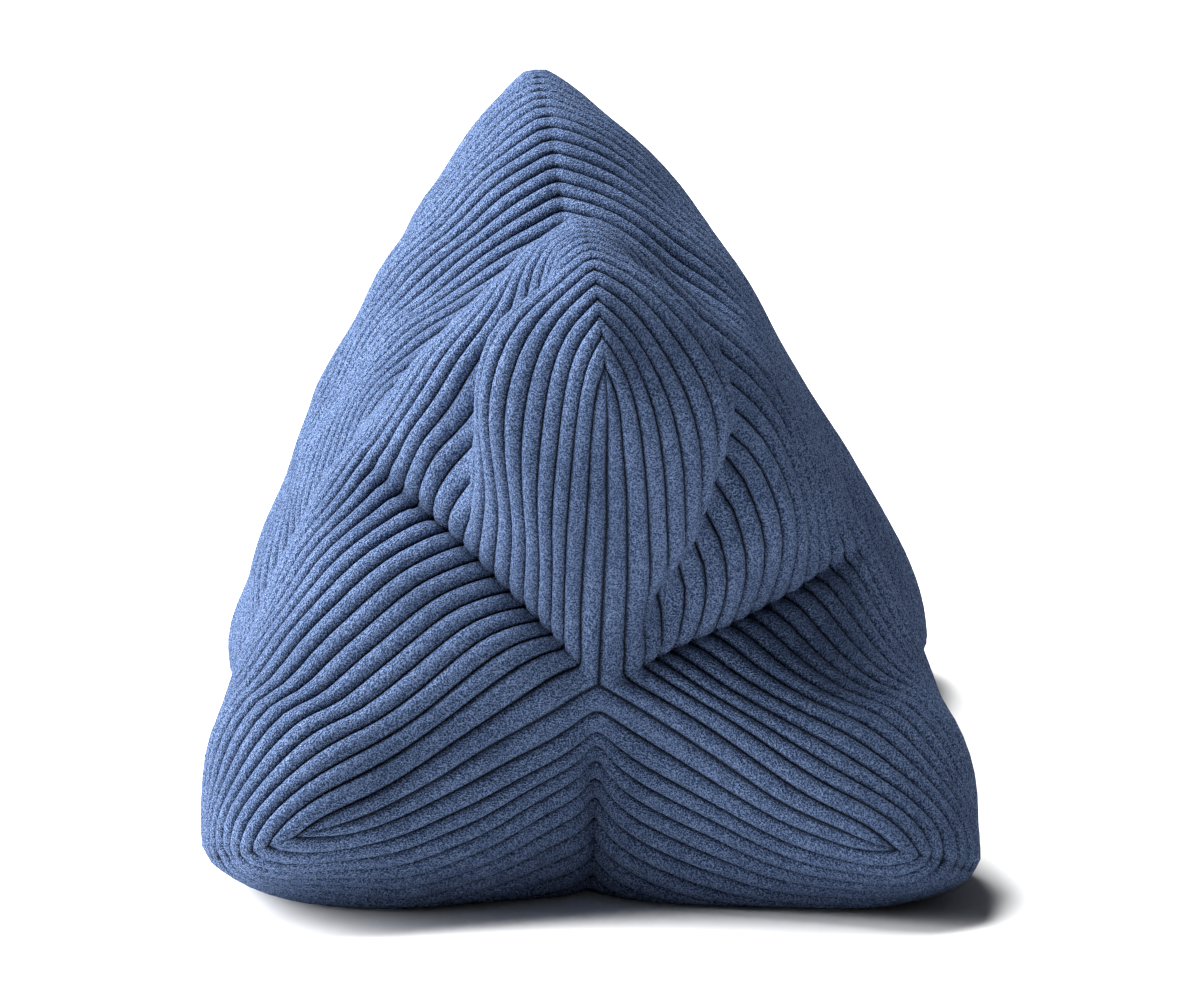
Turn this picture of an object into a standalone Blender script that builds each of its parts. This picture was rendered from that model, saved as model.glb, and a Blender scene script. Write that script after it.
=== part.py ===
"""Reading cushion in wide-wale corduroy: three bone-shaped panels sewn into a filled, three-lobed bolster.

Metres, +Z up. The cushion lies along Y with its near end towards -Y, on the plane z = 0. Its cross-section is
a three-pointed star: one lobe up, two lobes down. Every panel spans two lobes and dips into the valley between.
"""

import math

import bmesh
import bpy
from mathutils import Matrix, Vector

WALE_COUNT = 83
PANEL_LENGTH = 0.450
WALE_PITCH = PANEL_LENGTH / WALE_COUNT
WALE_RELIEF = 0.0016
COLUMNS_PER_PANEL = 12

AXIS_HEIGHT = 0.072
FLATTENING = 0.006
LOBE_REACH = 0.139
LOBE_ANGLES = [math.radians(90), math.radians(210), math.radians(330)]
HALF_PANEL_ANGLE = math.radians(60)

# What differs between the ends: the turn about the long axis, the lean of the upper lobe to the left, the
# fullness of the lobes' tips, and how far the valleys of the left, under and right panels have slipped round
# from the middle between their lobes.
NEAR_END = {"roll": math.radians(-2.2), "lean": -0.0085, "fullness": 1.0, "slip": (-12, 0, -9)}
FAR_END = {"roll": math.radians(2.9), "lean": -0.005, "fullness": 0.7, "slip": (4, 0, -3)}

# The share of the tip swell that each panel has beside its first and its second lobe. The floor presses the
# lower lobes thin underneath and full above.
PANEL_FULLNESS = [(1.0, 1.3), (-0.7, -0.7), (1.3, 1.0)]

# The half cushion from its end (first row) to its waist (last row), in millimetres. "across" is the distance
# along the panel from its straight end edge. The ridge is the long seam, the valley is the panel's middle, and
# the side is the place halfway between them: its reach is measured along the lobe and its swell across it, and the
# tip swell is what the lobe gains between its side and its ridge. Each "along" is the distance from the waist.
# Ridge and valley reaches are distances from the long axis.
HALF_SECTIONS = {
    "across":       (0, 3, 8, 16, 27, 40, 55, 75, 100, 125, 150, 175, 200, 225),
    "ridge_reach":  (98, 111, 119, 128, 135, 139, 139, 136, 127, 112, 98, 87, 80, 78),
    "ridge_along":  (207, 209, 207, 201, 190, 178, 163, 144, 120, 97, 75, 52, 27, 0),
    "side_reach":   (49, 57, 64, 73, 80, 86, 90, 94, 94, 88, 79, 71, 67, 64),
    "side_swell":   (0, 5, 11, 20, 29, 35, 38, 37, 40, 44, 44, 41, 37, 35),
    "side_along":   (199, 200, 199, 195, 187, 176, 162, 143, 118, 93, 70, 46, 23, 0),
    "tip_swell":    (0, 1, 3, 6, 9, 10, 10, 9, 7, 4, 2, 0, 0, 0),
    "valley_reach": (0, 8, 17, 28, 40, 54, 70, 88, 97, 97, 92, 85, 77, 71),
    "valley_along": (187, 187, 186, 185, 183, 179, 172, 157, 132, 107, 80, 54, 27, 0),
}


def smooth_value(places, values, place):
    """The value at a place, on a smooth curve through the given places and values."""
    last = len(places) - 1
    i = max(n for n in range(last) if places[n] <= place or n == 0)

    def slope(n):
        lower, upper = max(n - 1, 0), min(n + 1, last)
        return (values[upper] - values[lower]) / (places[upper] - places[lower])

    span = places[i + 1] - places[i]
    f = (place - places[i]) / span
    start_slope, end_slope = slope(i) * span, slope(i + 1) * span
    return (
        values[i] * (1 + 2 * f) * (1 - f) ** 2
        + values[i + 1] * f * f * (3 - 2 * f)
        + start_slope * f * (1 - f) ** 2
        - end_slope * f * f * (1 - f)
    )


def section_at(across):
    """The named sizes of the section at this distance from the nearer end edge, in metres."""
    places = HALF_SECTIONS["across"]
    return {
        name: smooth_value(places, values, across * 1000) / 1000
        for name, values in HALF_SECTIONS.items()
        if name != "across"
    }


def through_three(start, middle, end, f):
    """The point at f from 0 to 1 on the parabola through three points."""
    return 2 * (f - 0.5) * (f - 1) * start + 4 * f * (1 - f) * middle + 2 * f * (f - 0.5) * end


def tip_bulge(from_valley):
    """From 0 in the valley to 1 at three quarters of the way, and back to 0 on the ridge."""
    return from_valley ** 3 * (1 - from_valley) * 256 / 27


def lobe_point(across, from_valley, valley_angle, fullness):
    """A point of a half panel as (reach along its lobe, swell across it, distance along from the waist)."""
    s = section_at(across)
    valley = Vector((
        s["valley_reach"] * math.cos(valley_angle),
        s["valley_reach"] * math.sin(valley_angle),
        s["valley_along"],
    ))
    side = Vector((s["side_reach"], s["side_swell"], s["side_along"]))
    ridge = Vector((s["ridge_reach"], 0.0, s["ridge_along"]))
    point = through_three(valley, side, ridge, from_valley)
    point.y += s["tip_swell"] * fullness * tip_bulge(from_valley)
    return point


def panel_point(panel, place, across):
    """A point of a panel: place runs from -1 on its first ridge through 0 in its valley to 1 on the next."""
    half = PANEL_LENGTH / 2
    from_end = min(across, PANEL_LENGTH - across)
    end = FAR_END if across > half else NEAR_END
    second_lobe = place > 0
    slip = math.radians(end["slip"][panel]) * math.cos(math.pi / 2 * from_end / half)
    valley_angle = HALF_PANEL_ANGLE + (-slip if second_lobe else slip)
    fullness = end["fullness"] * PANEL_FULLNESS[panel][second_lobe]
    reach, swell, along = lobe_point(from_end, abs(place), valley_angle, fullness)
    angle = LOBE_ANGLES[(panel + second_lobe) % 3]
    outwards = Vector((math.cos(angle), 0, math.sin(angle)))
    sideways = Vector((-math.sin(angle), 0, math.cos(angle)))
    point = outwards * reach + sideways * (-swell if second_lobe else swell)
    point.y = along if end is FAR_END else -along
    return point


def lean_and_roll(point):
    """Turns the two ends about the long axis a little, and leans the upper lobes to the left."""
    half = PANEL_LENGTH / 2
    towards_far = (point.y + half) / (2 * half)
    roll = NEAR_END["roll"] + (FAR_END["roll"] - NEAR_END["roll"]) * towards_far
    lean = NEAR_END["lean"] + (FAR_END["lean"] - NEAR_END["lean"]) * towards_far
    turned = Matrix.Rotation(-roll, 3, "Y") @ point
    turned.x += lean * (max(turned.z, 0) / LOBE_REACH) ** 2
    return turned


def settled(height):
    """The height above the floor once the weight has pressed flat what would reach below it."""
    if height <= -FLATTENING:
        return 0.0
    if height >= FLATTENING:
        return height
    return (height + FLATTENING) ** 2 / (4 * FLATTENING)


def add_panel(mesh, relief, panel):
    """Adds one panel as a grid, a row for every wale's crest and every groove between two."""
    rows = 2 * WALE_COUNT
    grid = bmesh.ops.create_grid(mesh, x_segments=COLUMNS_PER_PANEL, y_segments=rows, size=1)
    for vertex in grid["verts"]:
        row = round((vertex.co.y + 1) / 2 * rows)
        place = vertex.co.x
        vertex[relief] = WALE_RELIEF / 2 if row % 2 else -WALE_RELIEF / 2
        vertex.co = lean_and_roll(panel_point(panel, place, row * WALE_PITCH / 2))


def raise_wales(mesh, relief):
    """Moves every row out to its wale's crest, or in to its groove."""
    mesh.normal_update()
    for vertex in mesh.verts:
        vertex.co += vertex.normal * vertex[relief]


def settle_on_floor(mesh):
    for vertex in mesh.verts:
        vertex.co.z = settled(vertex.co.z + AXIS_HEIGHT)


def centre_on_origin(mesh):
    """Moves the cushion so that its box stands centred over the origin."""
    for axis in (0, 1):
        values = [vertex.co[axis] for vertex in mesh.verts]
        middle = (min(values) + max(values)) / 2
        for vertex in mesh.verts:
            vertex.co[axis] -= middle


def corduroy():
    material = bpy.data.materials.new("blue_corduroy")
    material.use_nodes = True
    shader = material.node_tree.nodes["Principled BSDF"]
    shader.inputs["Base Color"].default_value = (0.075, 0.125, 0.27, 1)
    shader.inputs["Roughness"].default_value = 0.9
    shader.inputs["Metallic"].default_value = 0.0
    return material


def make_cushion(collection):
    """The filled cushion as one closed solid: three panels sewn along the ridges and the Y-shaped end seams."""
    mesh = bmesh.new()
    relief = mesh.verts.layers.float.new("relief")
    for panel in range(3):
        add_panel(mesh, relief, panel)
    bmesh.ops.remove_doubles(mesh, verts=mesh.verts, dist=0.00002)
    bmesh.ops.recalc_face_normals(mesh, faces=mesh.faces)
    raise_wales(mesh, relief)
    settle_on_floor(mesh)
    centre_on_origin(mesh)
    bmesh.ops.triangulate(mesh, faces=mesh.faces)
    data = bpy.data.meshes.new("cushion")
    mesh.to_mesh(data)
    mesh.free()
    data.shade_smooth()
    data.materials.append(corduroy())
    collection.objects.link(bpy.data.objects.new("cushion", data))


def main():
    for existing in list(bpy.data.objects):
        bpy.data.objects.remove(existing)
    collection = bpy.data.collections.new("reading_cushion")
    bpy.context.scene.collection.children.link(collection)
    make_cushion(collection)


main()
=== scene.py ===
"""The looks of a stuffed reading cushion in wide-wale corduroy, with a pale floor, soft light and a camera.

The cover is cut as three bone-shaped panels, sewn edge to edge, and filled by a cloth simulation. Its wales
are then raised on a fine mesh. Metres, +Z up; the cushion lies along Y with its near end towards -Y.
"""

import math

import bmesh
import bpy
import numpy as np
from bpy.props import FloatProperty, FloatVectorProperty, IntProperty, PointerProperty
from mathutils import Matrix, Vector


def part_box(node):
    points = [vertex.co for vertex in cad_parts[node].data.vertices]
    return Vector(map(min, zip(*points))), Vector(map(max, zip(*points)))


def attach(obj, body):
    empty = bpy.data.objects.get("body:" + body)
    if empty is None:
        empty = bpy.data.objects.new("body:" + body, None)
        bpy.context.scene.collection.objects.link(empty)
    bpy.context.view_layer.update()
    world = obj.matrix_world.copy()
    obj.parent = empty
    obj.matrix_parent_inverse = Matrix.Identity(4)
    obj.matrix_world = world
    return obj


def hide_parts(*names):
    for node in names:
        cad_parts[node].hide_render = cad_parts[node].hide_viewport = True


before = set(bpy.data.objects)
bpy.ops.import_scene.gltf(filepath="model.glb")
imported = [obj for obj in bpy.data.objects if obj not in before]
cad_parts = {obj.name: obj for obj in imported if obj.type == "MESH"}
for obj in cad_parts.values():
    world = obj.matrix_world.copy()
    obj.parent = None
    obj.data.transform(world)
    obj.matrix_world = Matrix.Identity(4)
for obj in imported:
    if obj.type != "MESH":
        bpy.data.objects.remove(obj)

bl_info = {
    "name": "Corduroy Reading Cushion",
    "version": (1, 0, 0),
    "blender": (4, 5, 0),
    "location": "View3D > Sidebar > Cushion",
    "description": "Sews, fills and dresses a three-panel corduroy reading cushion",
    "category": "Object",
}

FRAME_LOW, FRAME_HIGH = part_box("cushion")

# The cushion's cross-section, seen from the near end, has three lobes. Panel 0, the left one, spans the upper
# and the lower left lobe, panel 1 lies under, and panel 2 spans the lower right and the upper lobe.
PANELS = 3
LOBE_ANGLES = [math.radians(90), math.radians(210), math.radians(330)]
VALLEY_ANGLES = [math.radians(150), math.radians(270), math.radians(30)]
LOBE_REACH = 0.139

# The long axis lies at the first height above the floor. The second rounds the edge of the flat underneath.
AXIS_HEIGHT = 0.072
FLATTENING = 0.006

# What differs between the ends: the turn about the long axis, the lean of the upper lobe, and how far the
# valleys of the left, under and right panels have slipped round from the middle between their lobes.
NEAR_END = {"roll": math.radians(-2.2), "lean": -0.0085, "slip": (-13, 0, -9)}
FAR_END = {"roll": math.radians(3.6), "lean": -0.005, "slip": (4, 0, -3)}

# The tips of the lower lobes stand clear of the floor, while the under panel's swellings rest on it. The lift
# grows from these distances to the side and along, over these lengths, and only below the long axis.
TIP_LIFT = 0.012
TIP_SIDE, TIP_SIDE_OVER = 0.055, 0.05
TIP_ALONG, TIP_ALONG_OVER = 0.10, 0.07
BELOW_AXIS_OVER = 0.02

# The far end's upper lobe stands higher than the near end's. The rise grows over this length and height.
FAR_RISE = 0.005
FAR_RISE_LENGTH, FAR_RISE_HEIGHT = 0.15, 0.08

# Before filling, each end is a flat Y that opens to a triangle towards the waist: by the first share over the
# first length, and by the second share over the short length beside the end. Each panel starts this far out
# from the long axis.
OPENING_SHARE, OPENING_LENGTH = 0.8, 0.10
END_OPENING_SHARE, END_OPENING_LENGTH = 0.2, 0.004
START_OUT = 0.002

# The flat panels lie side by side at this distance, as the shape that the cloth wants to keep.
FLAT_SPACING = 0.5

# The mesh that is filled has cells of about this size, and its columns are closer together beside the
# valley.
CELL = 0.008
COLUMN_CLOSENESS, COLUMN_SPREAD = 0.6, 0.25

# The cover is filled twice: firm cloth first, for the whole shape, then soft cloth at the ends, where the
# filling presses folds and tucks into it while the waist is held.
BOTH_CLOTHS = {
    "quality": 10, "mass": 0.15, "tension_stiffness": 1000, "tension_damping": 10, "compression_damping": 10,
    "shear_damping": 10, "bending_damping": 0.5,
}
FIRM_CLOTH = {
    "compression_stiffness": 5, "shear_stiffness": 5, "bending_stiffness": 2, "air_damping": 2,
}
SOFT_CLOTH = {
    "compression_stiffness": 0.3, "shear_stiffness": 0.3, "bending_stiffness": 0.1, "air_damping": 4,
}
FIRM_STEPS, QUICK_FIRM_STEPS = 40, 14
SOFT_STEPS, QUICK_SOFT_STEPS = 30, 8

# The soft cloth is cut wider by this share between the ends and the waist. The share grows over the first
# length from the end, and fades from the distance that follows, over the last length.
SLACK = 0.08
SLACK_GROWS_OVER, SLACK_FADES_FROM, SLACK_FADES_OVER = 0.03, 0.12, 0.06

# How firmly the second filling holds the valleys' bottoms, the ridges and the guided folds, and between which
# distances from the end. The waist's hold grows from a distance, over a length, until it is fixed.
VALLEY_HOLD, VALLEY_HOLD_WIDTH = 0.5, 0.012
VALLEY_HOLD_FROM, VALLEY_HOLD_TO = 0.006, 0.08
RIDGE_HOLD, RIDGE_HOLD_WIDTH = 0.5, 0.006
RIDGE_HOLD_FROM, RIDGE_HOLD_TO = 0.03, 0.10
FOLD_HOLD = 0.6
WAIST_HOLD_FROM, WAIST_HOLD_OVER = 0.10, 0.05

# The tuck along the valley at both ends: how deep and how wide in the left, the under and the right panel.
# It grows over the first length from the end, and fades from the distance that follows, over the last length.
TUCKS = (
    {"depth": 0.016, "width": 0.010},
    {"depth": 0.005, "width": 0.010},
    {"depth": 0.012, "width": 0.019},
)
TUCK_TOWARDS_WAIST, TUCK_INWARDS = 0.8, 0.6
TUCK_GROWS_OVER, TUCK_FADES_FROM, TUCK_FADES_OVER = 0.02, 0.045, 0.045

# The near end's upper lobe stands forward like an ear: its swell has its middle at these distances from the
# valley and along the panel, and grows over a short length from the end. The lower lobes have a share of it.
EAR_SWELL = {
    "height": 0.014, "from_valley": 0.080, "width": 0.034, "along": 0.040, "length": 0.018,
    "grows_over": 0.01,
}
LOWER_LOBE_SWELL = 0.3
EAR_HOLD = 0.9

# A crease runs round the ear's back on either side, through these distances from the valley and along the
# panel, in millimetres.
LEFT_CREASE = {
    "from_valley": (9, 16, 31, 41, 54, 68, 88, 106, 118),
    "along": (46, 50, 55, 57, 58, 59, 56, 50, 45),
}
RIGHT_CREASE = {
    "from_valley": (8, 17, 26, 35, 47, 60, 72, 88, 103, 118),
    "along": (10, 14, 19, 26, 34, 43, 49, 54, 54, 49),
}
CREASE_DEPTH, CREASE_WIDTH = 0.010, 0.007

# The creases are pressed in once more on the fine mesh, steep towards the ear and gentle behind it.
FINE_CREASE_DEPTH = 0.008
CREASE_STEEP, CREASE_GENTLE = 0.0045, 0.013

# Behind the near end the valleys stay hollow: by these shares of their reach in the left, under and right
# panels, from this place along the cushion, over this length.
HOLLOWS = (0.05, 0.0, 0.12)
HOLLOW_START, HOLLOW_OVER = -0.16, 0.09

# The Y-shaped end seams are drawn in between the swellings of the filling.
END_SEAM_DEPTH, END_SEAM_WIDTH = 0.002, 0.012

# The filling is a little lumpy and the wales a little wavy. Each lump wave has a direction, a length and a
# height, and each wale wave its turns across and along the panel, in radians per metre, and its start. The
# waves of the wales fade beside the seams.
LUMPS = (
    ((0.8, 0.5, -0.3), 0.061, 0.0007),
    ((-0.4, 0.8, 0.5), 0.047, 0.0006),
    ((0.3, -0.4, 0.9), 0.053, 0.0006),
    ((0.7, 0.6, 0.6), 0.033, 0.0004),
)
WAVE_HEIGHT = 0.0006
WALE_WAVES = ((105, 33, 0.0), (61, -47, 1.3))
WAVE_FADE = 0.02

# The fine mesh carries the wales. A wale is eight rows from groove to groove, at these shares of its width,
# and each row stands at this share of the wale's depth. The filled surface lies at the middle height.
WALE_SHARES = (0.0, 0.055, 0.16, 0.32, 0.5, 0.68, 0.84, 0.945)
WALE_HEIGHTS = (0.0, 0.44, 0.79, 0.96, 1.0, 0.96, 0.79, 0.44)
MIDDLE_HEIGHT = 0.7

# A row closer to an end edge than the first distance is left out, and points closer together than the second
# are merged.
CLOSEST_ROW = 0.0003
CLOSEST_POINTS = 0.00003

# This share of the first wale is sewn into the end seam, which draws the rest of it in over this width, to
# this share of its height.
WALE_IN_SEAM = 0.42
END_SEAM_PULL = 0.0006
END_SEAM_HEIGHT = 0.1

# A long seam draws the wales in over this width, to this share of their height.
SEAM_WIDTH = 0.0025
SEAM_HEIGHT = 0.5

# The columns of the fine mesh are closer together beside the valley and beside the seams.
FINE_COLUMNS = 50
VALLEY_CLOSENESS, VALLEY_SPREAD = 0.70, 0.16
SEAM_CLOSENESS, SEAM_SPREAD = 0.55, 0.09

# The cloth's look: the grain of the pile and of its brushed patches, in cells per metre, the values of the
# grain between which the flecks and the patches come in, the patches' strength and shade, how far the pile
# frays the grooves' edges, and the heights on a wale between which its groove's colour fades out. That
# colour is the ground cloth's dark blue with painted shade, darker than the cloth, for the shade in the
# grooves.
PILE_GRAIN, BRUSHED_GRAIN = 1900.0, 34.0
FLECK_FROM, FLECK_TO = 0.38, 0.62
BRUSHED_FROM, BRUSHED_TO = 0.35, 0.75
BRUSHED_STRENGTH, BRUSHED_SHADE = 0.3, 0.8
FRAY = 0.30
GROOVE_SHADE_FROM, GROOVE_SHADE_TO = 0.12, 0.72
PILE_RELIEF = 0.0025
SHEEN_TINT = (0.62, 0.72, 1.0, 1.0)


class CoverSettings(bpy.types.PropertyGroup):
    """The cut, the filling and the cloth of the cover."""

    panel_length: FloatProperty(
        name="Panel length", description="Length of a flat panel between its end edges",
        default=0.450, unit="LENGTH")
    end_half_width: FloatProperty(
        name="End edge, half",
        description="Half of a panel's straight end edge, one arm of the Y-shaped seam",
        default=0.098, unit="LENGTH")
    corner_width: FloatProperty(
        name="Corner width", description="How far a rounded corner reaches beyond the end edge",
        default=0.034, unit="LENGTH")
    corner_length: FloatProperty(
        name="Corner length", description="How far a rounded corner reaches along the panel",
        default=0.045, unit="LENGTH")
    waist_half_width: FloatProperty(
        name="Waist, half", description="Half of a flat panel's width at its waist",
        default=0.080, unit="LENGTH")
    wale_count: IntProperty(
        name="Wales", description="Number of wales along a panel", default=83)
    wale_depth: FloatProperty(
        name="Wale depth", description="Depth of the groove between two wales",
        default=0.0026, unit="LENGTH")
    filling_pressure: FloatProperty(
        name="Filling pressure", description="Pressure of the filling on the firm cloth", default=60.0)
    end_pressure: FloatProperty(
        name="End pressure", description="Pressure of the filling on the soft cloth of the ends",
        default=90.0)
    pile_color: FloatVectorProperty(
        name="Pile", description="Colour of the wales' pile", subtype="COLOR", size=4,
        default=(0.023, 0.046, 0.107, 1.0), min=0.0, max=1.0)
    fleck_color: FloatVectorProperty(
        name="Flecks", description="Colour of the pale flecks in the pile", subtype="COLOR", size=4,
        default=(0.138, 0.199, 0.355, 1.0), min=0.0, max=1.0)
    # The grooves' colour is the ground cloth's own dark blue, darkened further as painted shade deep in the
    # grooves.
    groove_cloth_and_shade_color: FloatVectorProperty(
        name="Grooves", description="Colour of the ground cloth in the grooves", subtype="COLOR", size=4,
        default=(0.002, 0.005, 0.015, 1.0), min=0.0, max=1.0)


class StageSettings(bpy.types.PropertyGroup):
    """The floor and the light."""

    floor_color: FloatVectorProperty(
        name="Floor", description="Colour of the floor", subtype="COLOR", size=4,
        default=(0.93, 0.93, 0.93, 1.0), min=0.0, max=1.0)
    top_power: FloatProperty(
        name="Top light", description="Power of the soft light from above, a little to the left",
        default=235.0, unit="POWER")
    side_power: FloatProperty(
        name="Side light", description="Power of the soft light from low on the left",
        default=225.0, unit="POWER")
    room_strength: FloatProperty(
        name="Room light", description="Strength of the even light from all round", default=0.05)


class Number:
    """A number in a material, on which arithmetic adds Math nodes."""

    def __init__(self, finish, socket):
        self.finish = finish
        self.socket = socket

    def joined(self, operation, first, second):
        node = self.finish.node("ShaderNodeMath", {"operation": operation}, {0: first, 1: second})
        return Number(self.finish, node.outputs[0])

    def __add__(self, other):
        return self.joined("ADD", self, other)

    def __radd__(self, other):
        return self.joined("ADD", other, self)

    def __sub__(self, other):
        return self.joined("SUBTRACT", self, other)

    def __rsub__(self, other):
        return self.joined("SUBTRACT", other, self)

    def __mul__(self, other):
        return self.joined("MULTIPLY", self, other)

    def __rmul__(self, other):
        return self.joined("MULTIPLY", other, self)


class Finish:
    """A material with a Principled shader, to which nodes are added."""

    def __init__(self, name):
        self.material = bpy.data.materials.new(name)
        self.material.use_nodes = True
        self.tree = self.material.node_tree
        self.shader = self.tree.nodes["Principled BSDF"]

    def put(self, socket, value):
        """Links a socket to another one's value, or sets it."""
        if isinstance(value, Number):
            self.tree.links.new(value.socket, socket)
        elif isinstance(value, bpy.types.NodeSocket):
            self.tree.links.new(value, socket)
        else:
            socket.default_value = value

    def node(self, kind, settings=None, sockets=None):
        """Adds a node with its settings, then the values or links of its sockets."""
        node = self.tree.nodes.new(kind)
        for name, value in (settings or {}).items():
            setattr(node, name, value)
        for key, value in (sockets or {}).items():
            found = node.inputs[key] if isinstance(key, int) else next(
                socket for socket in node.inputs if key in (socket.identifier, socket.name))
            self.put(found, value)
        return node

    def number(self, node, output=0):
        """The value of one of a node's outputs."""
        return Number(self, node.outputs[output])

    def blended(self, share, first, second):
        """A colour from first to second as share goes from 0 to 1."""
        node = self.node("ShaderNodeMix", {"data_type": "RGBA", "clamp_factor": True}, {
            "Factor_Float": share, "A_Color": first, "B_Color": second})
        return next(socket for socket in node.outputs if socket.identifier == "Result_Color")

    def ramped(self, value, low, high):
        """A number that goes smoothly from 0 to 1 as value goes from low to high."""
        node = self.node("ShaderNodeMapRange", {"interpolation_type": "SMOOTHSTEP"}, {
            "Value": value, "From Min": low, "From Max": high})
        return self.number(node)


def smoothstep(value):
    """Goes smoothly from 0 to 1 as the value does."""
    value = np.clip(value, 0.0, 1.0)
    return value * value * (3 - 2 * value)


def pattern_half_width(along, cover):
    """Half of a flat panel's width at this distance from the nearer end edge."""
    widest = cover.end_half_width + cover.corner_width
    if along < cover.corner_length:
        round_share = 1 - along / cover.corner_length
        return cover.end_half_width + cover.corner_width * math.sqrt(1 - round_share ** 2)
    towards_waist = (along - cover.corner_length) / (cover.panel_length / 2 - cover.corner_length)
    narrowing = widest - cover.waist_half_width
    return cover.waist_half_width + narrowing * (1 + math.cos(math.pi * towards_waist)) / 2


def closer_places(count, low_closeness, low_spread, high_closeness=0.0, high_spread=1.0):
    """Places from 0 to 1, closer together near 0 and near 1 by these shares."""
    steps = np.linspace(0, 1, 2001)
    spacing = 1 - low_closeness * np.exp(-(steps / low_spread) ** 2)
    spacing -= high_closeness * np.exp(-((1 - steps) / high_spread) ** 2)
    counted = np.concatenate([[0], np.cumsum((1 / spacing[1:] + 1 / spacing[:-1]) / 2)])
    return np.interp(np.linspace(0, 1, count + 1), counted / counted[-1], steps)


def both_halves(half):
    """Places from -1 to 1 whose halves mirror each other."""
    return np.concatenate([-half[:0:-1], half])


class Cut:
    """Points of a flat panel, in rows along it and columns across it, with their flat distances."""

    def __init__(self, along, places, cover):
        self.along = along[:, None]
        self.places = places[None, :]
        self.from_end = np.maximum(np.minimum(self.along, cover.panel_length - self.along), 0)
        self.half_width = np.array([[pattern_half_width(row[0], cover)] for row in self.from_end])
        self.across = self.places * self.half_width
        self.from_valley = np.abs(self.across)
        self.from_ridge = (1 - np.abs(self.places)) * self.half_width
        self.rows, self.columns = self.across.shape

    def laid_flat(self, widening):
        """The panels' flat points, side by side."""
        flat = np.zeros((PANELS, self.rows, self.columns, 3))
        flat[..., 0] = self.across * widening + np.arange(PANELS)[:, None, None] * FLAT_SPACING
        flat[..., 1] = self.along
        return flat


def filling_cut(cover):
    """The cut of the mesh that is filled, with closer rows in the corners."""
    corner_rows = max(4, round(cover.corner_length * math.pi / 2 / CELL))
    corner = cover.corner_length * (1 - np.cos(math.pi / 2 * np.arange(corner_rows) / corner_rows))
    straight = cover.panel_length - 2 * cover.corner_length
    middle = cover.corner_length + straight * np.linspace(0, 1, round(straight / CELL) + 1)
    along = np.concatenate([corner, middle, cover.panel_length - corner[::-1]])
    half_columns = round((cover.end_half_width + cover.corner_width) / CELL)
    return Cut(along, both_halves(closer_places(half_columns, COLUMN_CLOSENESS, COLUMN_SPREAD)), cover)


def fine_cut(cover):
    """The cut of the fine mesh, and the height share of each of its rows."""
    pitch = cover.panel_length / cover.wale_count
    wales = cover.wale_count + 1
    along = (np.add.outer(np.arange(wales), WALE_SHARES).ravel() - WALE_IN_SEAM) * pitch
    height = np.tile(WALE_HEIGHTS, wales)
    inside = (along > CLOSEST_ROW) & (along < cover.panel_length - CLOSEST_ROW)
    along = np.concatenate([[0], along[inside], [cover.panel_length]])
    height = np.concatenate([[1], height[inside], [1]])
    half = closer_places(FINE_COLUMNS // 2, VALLEY_CLOSENESS, VALLEY_SPREAD, SEAM_CLOSENESS, SEAM_SPREAD)
    cut = Cut(along, both_halves(half), cover)
    beside_seam = END_SEAM_HEIGHT + (1 - END_SEAM_HEIGHT) * smoothstep(cut.from_end / END_SEAM_PULL)
    return cut, height[:, None] * beside_seam


def folded_panels(cut, cover):
    """Where the panels lie before filling: a flat Y at each end, opening to a triangle at the waist."""
    opening = OPENING_SHARE * smoothstep(cut.from_end / OPENING_LENGTH)
    opening = opening + END_OPENING_SHARE * np.minimum(1.0, cut.from_end / END_OPENING_LENGTH)
    places = cut.places[..., None]
    points = np.empty((PANELS, cut.rows, cut.columns, 3))
    for panel in range(PANELS):
        first, second = (
            np.array([math.cos(angle), 0, math.sin(angle)])
            for angle in (LOBE_ANGLES[panel], LOBE_ANGLES[(panel + 1) % PANELS]))
        on_star = np.where(places > 0, second, first) * cut.from_valley[..., None]
        on_triangle = (first * (1 - places) + second * (1 + places)) * cut.half_width[..., None]
        on_triangle = on_triangle / (2 * math.cos(math.pi / 6))
        points[panel] = on_star + (on_triangle - on_star) * opening[..., None]
        points[panel] += (first + second) * START_OUT
    points[..., 1] = cut.along - cover.panel_length / 2
    return points


def sewn_mesh(rows, columns):
    """The faces of the three panels, with the sewing threads between their edges."""
    mesh = bmesh.new()
    for panel in range(PANELS):
        bmesh.ops.create_grid(mesh, x_segments=columns, y_segments=rows - 1, size=1)
    bmesh.ops.reverse_faces(mesh, faces=mesh.faces)
    mesh.verts.ensure_lookup_table()

    def vertex(panel, row, column):
        return mesh.verts[(panel * rows + row) * (columns + 1) + column]

    for panel in range(PANELS):
        following = (panel + 1) % PANELS
        for row in range(rows):
            mesh.edges.new((vertex(panel, row, columns), vertex(following, row, 0)))
        for row in (0, rows - 1):
            for column in range(columns // 2, columns):
                mesh.edges.new((vertex(panel, row, column), vertex(following, row, columns - column)))
    data = bpy.data.meshes.new("sewn_panels")
    mesh.to_mesh(data)
    mesh.free()
    return data


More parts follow.
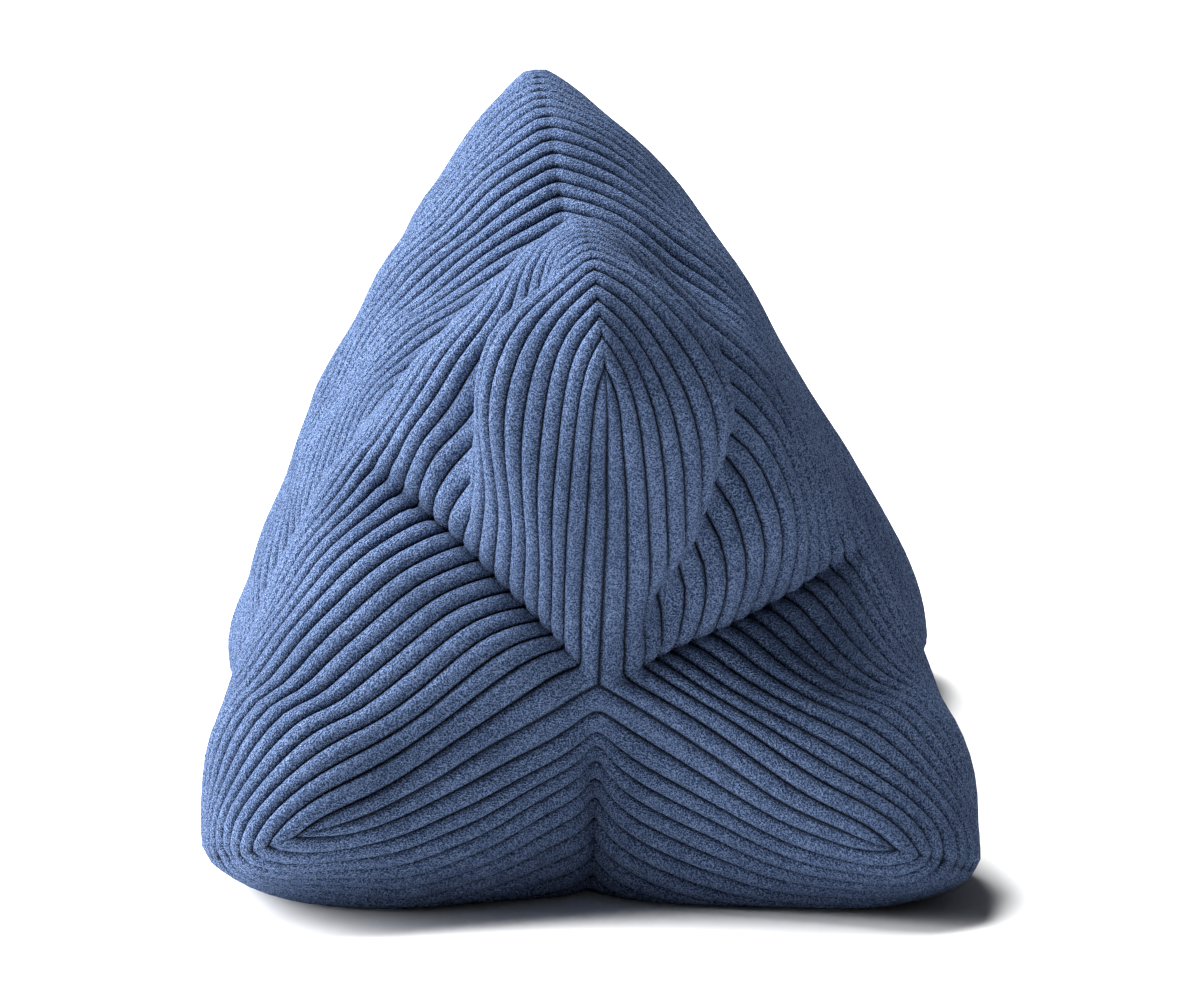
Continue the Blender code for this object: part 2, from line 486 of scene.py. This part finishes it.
def filled(points, flat, cloth_values, pressure, steps, holds=None):
    """The panels' points after some steps of filling. Held points stay near their places."""
    data = sewn_mesh(points.shape[1], points.shape[2] - 1)
    data.vertices.foreach_set("co", points.ravel())
    panels = bpy.data.objects.new("sewn_panels", data)
    bpy.context.scene.collection.objects.link(panels)
    panels.shape_key_add(name="Basis")
    flat_cut = panels.shape_key_add(name="flat_cut")
    flat_cut.data.foreach_set("co", flat.ravel())
    flat_cut.value = 0.0
    filling = panels.modifiers.new("filling", "CLOTH")
    cloth = filling.settings
    for name, value in {**BOTH_CLOTHS, **cloth_values}.items():
        setattr(cloth, name, value)
    cloth.use_pressure = True
    cloth.uniform_pressure_force = pressure
    cloth.use_sewing_springs = True
    cloth.sewing_force_max = 0
    cloth.rest_shape_key = flat_cut
    cloth.effector_weights.gravity = 0
    if holds is not None:
        group = panels.vertex_groups.new(name="held")
        for index, hold in enumerate(holds.ravel().tolist()):
            group.add([index], hold, "REPLACE")
        cloth.vertex_group_mass = group.name
    filling.collision_settings.use_collision = False
    filling.point_cache.frame_start = 1
    filling.point_cache.frame_end = steps
    for step in range(1, steps + 1):
        bpy.context.scene.frame_set(step)
    result = panels.evaluated_get(bpy.context.evaluated_depsgraph_get()).data
    moved = np.empty(len(result.vertices) * 3)
    result.vertices.foreach_get("co", moved)
    bpy.data.objects.remove(panels)
    bpy.context.scene.frame_set(1)
    return moved.reshape(points.shape)


def outward_normals(points):
    """The unit normals of the panels' points, by panel, row and column."""
    normals = np.cross(np.gradient(points, axis=1), np.gradient(points, axis=2))
    return normals / np.maximum(np.linalg.norm(normals, axis=3, keepdims=True), 1e-9)


def beside_valley(angle, valley_angle):
    """From 1 in a valley to 0 on the lobes beside it."""
    gap = (angle - valley_angle + math.pi) % (2 * math.pi) - math.pi
    return np.where(np.abs(gap) < math.pi / 3, np.cos(1.5 * gap) ** 2, 0)


def slip_lean_and_roll(points, cover):
    """Slips the valleys round, turns the ends about the long axis and leans the upper lobes."""
    x, y, z = np.moveaxis(points, -1, 0).copy()
    towards_far = np.clip(y / cover.panel_length + 0.5, 0, 1)
    from_waist = np.clip(np.abs(y) / (cover.panel_length / 2), 0, 1)
    angle, reach = np.arctan2(z, x), np.hypot(x, z)
    for panel, valley_angle in enumerate(VALLEY_ANGLES):
        slip = np.radians(np.where(y < 0, NEAR_END["slip"][panel], FAR_END["slip"][panel]))
        angle = angle + slip * np.sin(from_waist * math.pi / 2) * beside_valley(angle, valley_angle)
    angle += NEAR_END["roll"] + (FAR_END["roll"] - NEAR_END["roll"]) * towards_far
    z = reach * np.sin(angle)
    lean = NEAR_END["lean"] + (FAR_END["lean"] - NEAR_END["lean"]) * towards_far
    points[..., 0] = reach * np.cos(angle) + lean * (np.clip(z, 0, None) / LOBE_REACH) ** 2
    points[..., 2] = z


def lift_tips_and_far_lobe(points):
    """Lifts the tips of the lower lobes and the far end's upper lobe."""
    x, y, z = np.moveaxis(points, -1, 0)
    at_tips = smoothstep((np.abs(x) - TIP_SIDE) / TIP_SIDE_OVER)
    at_tips = at_tips * smoothstep((np.abs(y) - TIP_ALONG) / TIP_ALONG_OVER)
    lift = TIP_LIFT * at_tips * smoothstep(-z / BELOW_AXIS_OVER)
    rise = FAR_RISE * smoothstep(y / FAR_RISE_LENGTH) * smoothstep(z / FAR_RISE_HEIGHT)
    points[..., 2] = z + lift + rise


def tuck_valleys(points, cut):
    """Draws the valleys at the ends in towards the waist and the long axis."""
    fade = np.minimum(1, cut.from_end / TUCK_GROWS_OVER)
    fade = fade * (1 - np.clip((cut.from_end - TUCK_FADES_FROM) / TUCK_FADES_OVER, 0, 1))
    towards_waist = np.where(points[..., 1] > 0, -TUCK_TOWARDS_WAIST, TUCK_TOWARDS_WAIST)
    for panel, tuck in enumerate(TUCKS):
        depth = tuck["depth"] * fade * np.exp(-(cut.from_valley / tuck["width"]) ** 2)
        points[panel, ..., 0] -= depth * TUCK_INWARDS * math.cos(VALLEY_ANGLES[panel])
        points[panel, ..., 1] += depth * towards_waist[panel]
        points[panel, ..., 2] -= depth * TUCK_INWARDS * math.sin(VALLEY_ANGLES[panel])


def ear_swell(cut):
    """The ear's swell at each point of the panels, from 0 to 1, and a little of it on the lower lobes."""
    shape = np.exp(
        -((cut.from_valley - EAR_SWELL["from_valley"]) / EAR_SWELL["width"]) ** 2
        - ((cut.along - EAR_SWELL["along"]) / EAR_SWELL["length"]) ** 2)
    shape = shape * np.minimum(1, cut.along / EAR_SWELL["grows_over"])
    upper_then_lower = np.where(cut.places < 0, 1, LOWER_LOBE_SWELL)
    return np.array([shape * upper_then_lower, shape * 0, shape * upper_then_lower[:, ::-1]])


def ear_creases(cut):
    """For the left and the right crease: the panel, how far each of its points lies behind the crease, and
    the share of the crease's depth there, which fades towards the crease's ends."""
    for panel, crease, beside_ear in (
        (0, LEFT_CREASE, cut.places < 0),
        (2, RIGHT_CREASE, cut.places > 0),
    ):
        through = np.array(crease["from_valley"]) / 1000
        behind = cut.along - np.interp(cut.from_valley, through, np.array(crease["along"]) / 1000)
        passed = np.clip((cut.from_valley - through[0]) / (through[-1] - through[0]), 0, 1)
        yield panel, behind, np.sin(math.pi * passed) ** 0.5 * beside_ear


def held_points(cut, folds):
    """How firmly each point is held in the second filling, from 0 for free to 1 for fixed."""
    waist = smoothstep((cut.from_end - WAIST_HOLD_FROM) / WAIST_HOLD_OVER)
    in_valley = (cut.from_end > VALLEY_HOLD_FROM) & (cut.from_end < VALLEY_HOLD_TO)
    valley = VALLEY_HOLD * np.clip(1 - cut.from_valley / VALLEY_HOLD_WIDTH, 0, 1) * in_valley
    on_ridge = (cut.from_end > RIDGE_HOLD_FROM) & (cut.from_end < RIDGE_HOLD_TO)
    ridge = RIDGE_HOLD * np.clip(1 - cut.from_ridge / RIDGE_HOLD_WIDTH, 0, 1) * on_ridge
    return np.maximum(np.maximum(waist, valley), np.maximum(ridge, FOLD_HOLD * np.sqrt(folds)))


def filled_grid(cover):
    """The filled panels as points by panel, row and column, with their cut."""
    cut = filling_cut(cover)
    points = filled(
        folded_panels(cut, cover), cut.laid_flat(1), FIRM_CLOTH, cover.filling_pressure,
        FIRM_STEPS)
    slip_lean_and_roll(points, cover)
    lift_tips_and_far_lobe(points)
    tuck_valleys(points, cut)
    normals = outward_normals(points)
    swell = ear_swell(cut)
    points += normals * (swell * EAR_SWELL["height"])[..., None]
    folds = swell * EAR_HOLD
    for panel, behind, share in ear_creases(cut):
        pressed = share * np.exp(-(behind / CREASE_WIDTH) ** 2)
        points[panel] -= normals[panel] * (pressed * CREASE_DEPTH)[..., None]
        folds[panel] = np.maximum(folds[panel], pressed)
    fading = smoothstep((cut.from_end - SLACK_FADES_FROM) / SLACK_FADES_OVER)
    slack = SLACK * smoothstep(cut.from_end / SLACK_GROWS_OVER) * (1 - fading)
    points = filled(
        points, cut.laid_flat(1 + slack), SOFT_CLOTH, cover.end_pressure,
        SOFT_STEPS, held_points(cut, folds))
    return points, cut


def close_seams(grid):
    """Brings the two sides of every seam to their middle."""
    for panel in range(PANELS):
        following = (panel + 1) % PANELS
        middle = (grid[panel, :, -1] + grid[following, :, 0]) / 2
        grid[panel, :, -1] = middle
        grid[following, :, 0] = middle
    half = grid.shape[2] // 2
    for row in (0, -1):
        for panel in range(PANELS):
            following = (panel + 1) % PANELS
            middle = (grid[panel, row, half:] + grid[following, row, half::-1]) / 2
            grid[panel, row, half:] = middle
            grid[following, row, half::-1] = middle
        grid[:, row, half] = grid[:, row, half].mean(axis=0)


def padded_ends(values, axis):
    """The values with one more at both ends of an axis, continuing straight on."""
    values = np.moveaxis(values, axis, 0)
    before = 2 * values[0] - values[1]
    after = 2 * values[-1] - values[-2]
    return np.moveaxis(np.concatenate([before[None], values, after[None]]), 0, axis)


def smooth_shares(places, count):
    """For each place on a row of points: the first of the four points round it, and their shares."""
    first = np.clip(np.floor(places).astype(int), 0, count - 2)
    f = places - first
    shares = (
        (1 - f) ** 3 / 6,
        (3 * f ** 3 - 6 * f ** 2 + 4) / 6,
        (-3 * f ** 3 + 3 * f ** 2 + 3 * f + 1) / 6,
        f ** 3 / 6,
    )
    return first, shares


def fine_grid(points, cut, fine):
    """The filled panels on the fine cut, on smooth curves through their points."""
    columns = np.interp(fine.places[0], cut.places[0], np.arange(cut.columns))
    first, shares = smooth_shares(columns, cut.columns)
    padded = padded_ends(points, 2)
    across = sum(share[:, None] * padded[:, :, first + n] for n, share in enumerate(shares))
    rows = np.interp(fine.along[:, 0], cut.along[:, 0], np.arange(cut.rows))
    first, shares = smooth_shares(rows, cut.rows)
    padded = padded_ends(across, 1)
    return sum(share[:, None, None] * padded[:, first + n] for n, share in enumerate(shares))


def hollow_valleys(points):
    """Draws the valleys in towards the long axis behind the near end."""
    x, y, z = np.moveaxis(points, -1, 0)
    angle = np.arctan2(z, x)
    behind = smoothstep((y - HOLLOW_START) / HOLLOW_OVER)
    share = np.zeros_like(x)
    for hollow, valley_angle in zip(HOLLOWS, VALLEY_ANGLES):
        share += hollow * beside_valley(angle, valley_angle)
    points[..., 0] -= x * share * behind
    points[..., 2] -= z * share * behind


def draw_in_end_seams(points, cut):
    """Draws the Y-shaped seams in towards the waist."""
    depth = END_SEAM_DEPTH * np.exp(-(cut.from_end / END_SEAM_WIDTH) ** 2)
    points[..., 1] += np.where(points[..., 1] > 0, -depth, depth)


def add_lumps_and_waves(points, cut):
    """Makes the filling a little lumpy, and shifts the wales a little back and forth between the seams."""
    lumps = sum(
        height * np.sin(points @ np.array(direction) * 2 * math.pi / length)
        for direction, length, height in LUMPS)
    waves = sum(
        np.sin(cut.across * across + cut.along * along + start)
        for across, along, start in WALE_WAVES)
    waves = waves * WAVE_HEIGHT * smoothstep(cut.from_ridge / WAVE_FADE)
    waves = waves * smoothstep(cut.from_end / WAVE_FADE)
    tangents = np.gradient(points, axis=1)
    tangents /= np.maximum(np.linalg.norm(tangents, axis=3, keepdims=True), 1e-9)
    points += outward_normals(points) * lumps[..., None] + tangents * waves[..., None]


def press_creases(points, cut):
    """Presses the ear's creases in, steep towards the ear and gentle behind it."""
    normals = outward_normals(points)
    for panel, behind, share in ear_creases(cut):
        width = np.where(behind < 0, CREASE_STEEP, CREASE_GENTLE)
        pressed = share * np.exp(-(behind / width) ** 2)
        points[panel] -= normals[panel] * (pressed * FINE_CREASE_DEPTH)[..., None]


def settled(height):
    """The height above the floor once the weight has pressed flat what would reach below it."""
    soft = (height + FLATTENING) ** 2 / (4 * FLATTENING)
    return np.where(height <= -FLATTENING, 0.0, np.where(height >= FLATTENING, height, soft))


def corduroy(cover):
    """Wide-wale corduroy: speckled pile on the wales; in the grooves, and where the seams draw the wales low,
    dark ground cloth with painted shade.
    """
    finish = Finish("blue_corduroy")
    place = finish.node("ShaderNodeTexCoord").outputs["Object"]
    height = finish.number(finish.node("ShaderNodeAttribute", {"attribute_name": "wale_height"}), "Fac")
    pile = finish.number(finish.node("ShaderNodeTexNoise", sockets={
        "Vector": place, "Scale": PILE_GRAIN, "Detail": 1.0, "Roughness": 0.5}), "Fac")
    brushed = finish.number(finish.node("ShaderNodeTexNoise", sockets={
        "Vector": place, "Scale": BRUSHED_GRAIN, "Detail": 3.0, "Roughness": 0.55}), "Fac")
    fleck = finish.ramped(pile, FLECK_FROM, FLECK_TO)
    wale = finish.blended(fleck, tuple(cover.pile_color), tuple(cover.fleck_color))
    darker = tuple(value * BRUSHED_SHADE for value in cover.pile_color[:3]) + (1,)
    wale = finish.blended(finish.ramped(brushed, BRUSHED_FROM, BRUSHED_TO) * BRUSHED_STRENGTH, wale, darker)
    # Painted shade: low on each wale, and where the seams draw the wales low, the colour turns to the
    # grooves' near-black.
    out_of_groove_shade = finish.ramped(height + (pile - 0.5) * FRAY, GROOVE_SHADE_FROM, GROOVE_SHADE_TO)
    color = finish.blended(out_of_groove_shade, tuple(cover.groove_cloth_and_shade_color), wale)
    finish.put(finish.shader.inputs["Base Color"], color)
    finish.shader.inputs["Roughness"].default_value = 1.0
    finish.shader.inputs["Specular IOR Level"].default_value = 0.05
    finish.shader.inputs["Sheen Weight"].default_value = 0.06
    finish.shader.inputs["Sheen Roughness"].default_value = 0.45
    finish.shader.inputs["Sheen Tint"].default_value = SHEEN_TINT
    bump = finish.node("ShaderNodeBump", sockets={"Strength": 1.0, "Distance": PILE_RELIEF, "Height": pile})
    finish.put(finish.shader.inputs["Normal"], bump.outputs["Normal"])
    return finish.material


def cushion_cover(cover):
    """The finished cover: one closed fine mesh with its wales raised."""
    points, cut = filled_grid(cover)
    close_seams(points)
    fine, height = fine_cut(cover)
    points = fine_grid(points, cut, fine)
    hollow_valleys(points)
    press_creases(points, fine)
    draw_in_end_seams(points, fine)
    add_lumps_and_waves(points, fine)
    close_seams(points)
    points[..., 2] += AXIS_HEIGHT
    beside_seam = SEAM_HEIGHT + (1 - SEAM_HEIGHT) * smoothstep(fine.from_ridge / SEAM_WIDTH)
    stand = np.broadcast_to(height * beside_seam, points.shape[:3])
    mesh = bmesh.new()
    for panel in range(PANELS):
        bmesh.ops.create_grid(mesh, x_segments=fine.columns - 1, y_segments=fine.rows - 1, size=1)
    bmesh.ops.reverse_faces(mesh, faces=mesh.faces)
    data = bpy.data.meshes.new("cushion_cover")
    mesh.to_mesh(data)
    mesh.free()
    data.vertices.foreach_set("co", points.ravel())
    wale_height = data.attributes.new("wale_height", "FLOAT", "POINT")
    wale_height.data.foreach_set("value", stand.ravel().astype(np.float32))
    mesh = bmesh.new()
    mesh.from_mesh(data)
    bmesh.ops.remove_doubles(mesh, verts=mesh.verts, dist=CLOSEST_POINTS)
    bmesh.ops.recalc_face_normals(mesh, faces=mesh.faces)
    mesh.normal_update()
    stand_layer = mesh.verts.layers.float["wale_height"]
    for vertex in mesh.verts:
        vertex.co += vertex.normal * cover.wale_depth * (vertex[stand_layer] - MIDDLE_HEIGHT)
    mesh.to_mesh(data)
    mesh.free()
    settle(data)
    data.shade_smooth()
    data.materials.append(corduroy(cover))
    piece = bpy.data.objects.new("cushion_cover", data)
    bpy.context.scene.collection.objects.link(piece)
    return piece


def settle(data):
    """Presses the mesh flat on the floor and centres it over the frame's middle."""
    points = np.empty(len(data.vertices) * 3)
    data.vertices.foreach_get("co", points)
    points = points.reshape(-1, 3)
    points[:, 2] = settled(points[:, 2])
    for axis in (0, 1):
        middle = (FRAME_LOW[axis] + FRAME_HIGH[axis]) / 2
        points[:, axis] += middle - (points[:, axis].min() + points[:, axis].max()) / 2
    data.vertices.foreach_set("co", points.ravel())
    data.update()


class CUSHION_OT_cover(bpy.types.Operator):
    """Sew, fill and dress the corduroy cover"""

    bl_idname = "cushion.cover"
    bl_label = "Make the cover"

    def execute(self, context):
        piece = cushion_cover(context.scene.cushion_cover_settings)
        if len(piece.data.polygons) == 0:
            raise RuntimeError("the cover has no faces")
        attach(piece, "root")
        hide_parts("cushion")
        return {"FINISHED"}


# The camera looks at a point above the floor, at the photograph's angle and distance.
CAMERA_TARGET = Vector((-0.001, -0.200, 0.1365))
CAMERA_AZIMUTH = math.radians(-1.8)
CAMERA_ELEVATION = math.radians(11)
CAMERA_DISTANCE = 2.45
CAMERA_LENS = 242.1

# Both lights are square and soft. One hangs above, to the left and a little behind, one is low on the left.
TOP_LIGHT_PLACE = (-1.02, 0.49, 2.31)
SIDE_LIGHT_PLACE = (-2.31, 0.22, 0.96)
TOP_LIGHT_SIZE = 1.6
SIDE_LIGHT_SIZE = 2.0
LIGHT_TARGET = Vector((0, 0, 0.08))

# Half of the floor's side.
FLOOR_REACH = 12


def aimed(item, location, target):
    """Puts a camera or light at a location, looking at the target."""
    item.location = location
    item.rotation_mode = "QUATERNION"
    item.rotation_quaternion = (target - location).to_track_quat("-Z", "Y")
    bpy.context.scene.collection.objects.link(item)


def add_camera():
    """Adds the camera, with its long lens."""
    camera = bpy.data.cameras.new("camera")
    camera.sensor_width = 36.0
    camera.lens = CAMERA_LENS
    back = Vector((
        math.sin(CAMERA_AZIMUTH) * math.cos(CAMERA_ELEVATION),
        -math.cos(CAMERA_AZIMUTH) * math.cos(CAMERA_ELEVATION),
        math.sin(CAMERA_ELEVATION),
    ))
    item = bpy.data.objects.new("camera", camera)
    aimed(item, CAMERA_TARGET + back * CAMERA_DISTANCE, CAMERA_TARGET)
    bpy.context.scene.camera = item


def add_light(name, location, size, power):
    """Adds a soft square light that shines on the cushion."""
    light = bpy.data.lights.new(name, "AREA")
    light.shape = "SQUARE"
    light.size = size
    light.energy = power
    aimed(bpy.data.objects.new(name, light), Vector(location), LIGHT_TARGET)


def add_floor(stage):
    """Adds the plain pale floor."""
    mesh = bmesh.new()
    bmesh.ops.create_grid(mesh, x_segments=1, y_segments=1, size=FLOOR_REACH)
    data = bpy.data.meshes.new("floor")
    mesh.to_mesh(data)
    mesh.free()
    finish = Finish("pale_floor")
    finish.shader.inputs["Base Color"].default_value = tuple(stage.floor_color)
    finish.shader.inputs["Roughness"].default_value = 0.9
    data.materials.append(finish.material)
    floor = bpy.data.objects.new("floor", data)
    bpy.context.scene.collection.objects.link(floor)


def add_room_light(stage):
    """Adds the weak, even light from all round."""
    world = bpy.data.worlds.new("room")
    world.use_nodes = True
    background = world.node_tree.nodes["Background"]
    background.inputs["Color"].default_value = (1.0, 1.0, 1.0, 1.0)
    background.inputs["Strength"].default_value = stage.room_strength
    bpy.context.scene.world = world


class CUSHION_OT_stage(bpy.types.Operator):
    """Add the floor, the lights and the camera"""

    bl_idname = "cushion.stage"
    bl_label = "Set the stage"

    def execute(self, context):
        stage = context.scene.cushion_stage_settings
        add_floor(stage)
        add_room_light(stage)
        add_light("top_light", TOP_LIGHT_PLACE, TOP_LIGHT_SIZE, stage.top_power)
        add_light("side_light", SIDE_LIGHT_PLACE, SIDE_LIGHT_SIZE, stage.side_power)
        add_camera()
        context.scene.view_settings.view_transform = "Standard"
        return {"FINISHED"}


class CUSHION_PT_sidebar(bpy.types.Panel):
    """The cushion's settings and operators"""

    bl_label = "Reading Cushion"
    bl_idname = "CUSHION_PT_sidebar"
    bl_space_type = "VIEW_3D"
    bl_region_type = "UI"
    bl_category = "Cushion"

    def draw(self, context):
        layout = self.layout
        for settings, operator in (
            (context.scene.cushion_cover_settings, CUSHION_OT_cover.bl_idname),
            (context.scene.cushion_stage_settings, CUSHION_OT_stage.bl_idname),
        ):
            for name in settings.__annotations__:
                layout.prop(settings, name)
            layout.operator(operator)


CLASSES = (CoverSettings, StageSettings, CUSHION_OT_cover, CUSHION_OT_stage, CUSHION_PT_sidebar)


def register():
    for item in CLASSES:
        bpy.utils.register_class(item)
    bpy.types.Scene.cushion_cover_settings = PointerProperty(type=CoverSettings)
    bpy.types.Scene.cushion_stage_settings = PointerProperty(type=StageSettings)


def unregister():
    del bpy.types.Scene.cushion_stage_settings
    del bpy.types.Scene.cushion_cover_settings
    for item in reversed(CLASSES):
        bpy.utils.unregister_class(item)


def main():
    register()
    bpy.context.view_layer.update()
    bpy.ops.cushion.cover()
    bpy.ops.cushion.stage()


if __name__ == "__main__":
    main()
